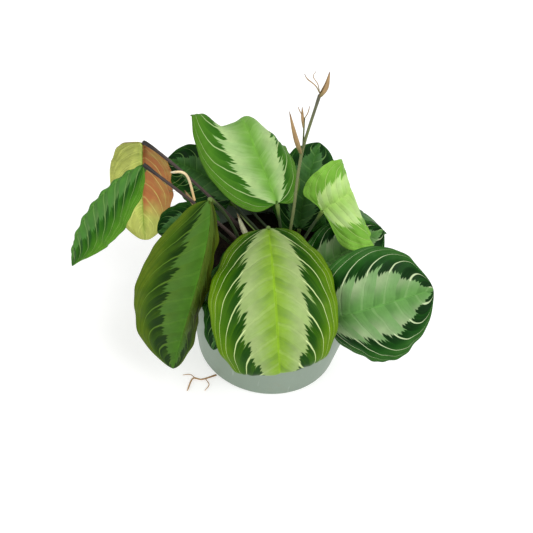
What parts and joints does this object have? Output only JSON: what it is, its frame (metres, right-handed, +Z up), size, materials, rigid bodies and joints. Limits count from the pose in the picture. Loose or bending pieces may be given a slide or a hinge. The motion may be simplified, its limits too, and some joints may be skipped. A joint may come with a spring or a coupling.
{
  "type": "potted prayer plant",
  "caption": "Prayer plant (Maranta) in a round tapered grower's pot: broad oval leaves with silver bands and pale veins, arching out over the rim.",
  "frame": {"origin": "centre of the underside of the pot's base", "axes": "+Z up, -Y towards the front of the plant, +X to the right seen from the front"},
  "size_m": [0.2161, 0.1895, 0.199],
  "materials": {
    "pot": "satin pale grey-green plastic",
    "soil": "damp crumbly peat with bark and white grit",
    "lime_leaf": "waxy lime-green leaf with a silver band and cream veins",
    "pale_leaf": "waxy pale green young leaf",
    "green_leaf": "waxy dark green leaf with a silver band and cream veins",
    "withered_leaf": "dull yellow-green and rust-brown underside",
    "leaf_stalk": "smooth purple-brown stalk",
    "flower_stalk": "thin olive stalk",
    "dry_bract": "dry tan husk",
    "dry_stem": "dry straw-coloured stem",
    "root": "dry brown root"
  },
  "bodies": {
    "root": {"bract_lower": "dry_bract", "bract_top": "dry_bract", "dry_stem": "dry_stem", "flower_side_stalk": "flower_stalk", "flower_stalk": "flower_stalk", "leaf_back_left": "green_leaf", "leaf_back_right": "green_leaf", "leaf_far_left": "green_leaf", "leaf_front": "lime_leaf", "leaf_front_left": "green_leaf", "leaf_left": "green_leaf", "leaf_left_mid": "green_leaf", "leaf_rear": "green_leaf", "leaf_rear_left": "green_leaf", "leaf_rear_right": "green_leaf", "leaf_right": "green_leaf", "leaf_right_mid": "green_leaf", "leaf_right_upper": "pale_leaf", "leaf_top": "green_leaf", "leaf_withered": "withered_leaf", "pot": "pot", "soil": "soil", "stalk_back_left": "leaf_stalk", "stalk_back_right": "leaf_stalk", "stalk_far_left": "leaf_stalk", "stalk_front": "leaf_stalk", "stalk_front_left": "leaf_stalk", "stalk_left": "leaf_stalk", "stalk_left_mid": "leaf_stalk", "stalk_rear": "leaf_stalk", "stalk_rear_left": "leaf_stalk", "stalk_rear_right": "leaf_stalk", "stalk_right": "leaf_stalk", "stalk_right_mid": "leaf_stalk", "stalk_right_upper": "leaf_stalk", "stalk_top": "leaf_stalk", "stalk_withered": "leaf_stalk", "stray_root": "root"}
  },
  "joints": []
}
